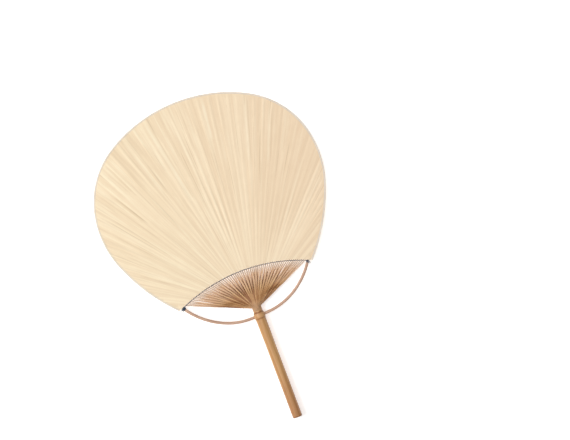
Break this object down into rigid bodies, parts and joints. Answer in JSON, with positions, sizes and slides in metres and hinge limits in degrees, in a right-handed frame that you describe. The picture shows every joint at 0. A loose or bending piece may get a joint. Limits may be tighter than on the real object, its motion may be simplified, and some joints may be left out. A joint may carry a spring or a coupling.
{
  "type": "uchiwa fan",
  "caption": "Round rigid hand fan: bamboo culm handle split into a spray of ribs, a bent bow through the node, woven blue thread, plain cream paper on both faces and a bound rim.",
  "frame": {"origin": "on the handle's axis, at the middle of the plain round grip", "axes": "+Y along the handle from the butt towards the top of the blade, +X to the right seen from the front, +Z out of the front face"},
  "size_m": [0.2496, 0.3582, 0.012],
  "materials": {
    "culm": "satin bamboo culm skin, golden tan, darker at the node scar",
    "plug": "matt softwood end grain",
    "rib_front": "split bamboo, satin",
    "rib_back": "split bamboo, matt inner side",
    "bow": "peeled stick, satin",
    "thread": "twisted cotton thread",
    "tie_thread": "twisted cotton thread",
    "paper_front": "matt cream handmade paper pasted over ribs",
    "paper_back": "matt cream handmade paper pasted over ribs",
    "binding": "matt folded paper strip"
  },
  "bodies": {
    "root": {"handle_culm": "culm", "handle_plug": "plug", "front_ribs": "rib_front", "back_ribs": "rib_back", "bow": "bow", "weaving_thread": "thread", "left_bow_tie": "tie_thread", "right_bow_tie": "tie_thread", "front_paper": "paper_front", "back_paper": "paper_back", "edge_binding": "binding"}
  },
  "joints": []
}
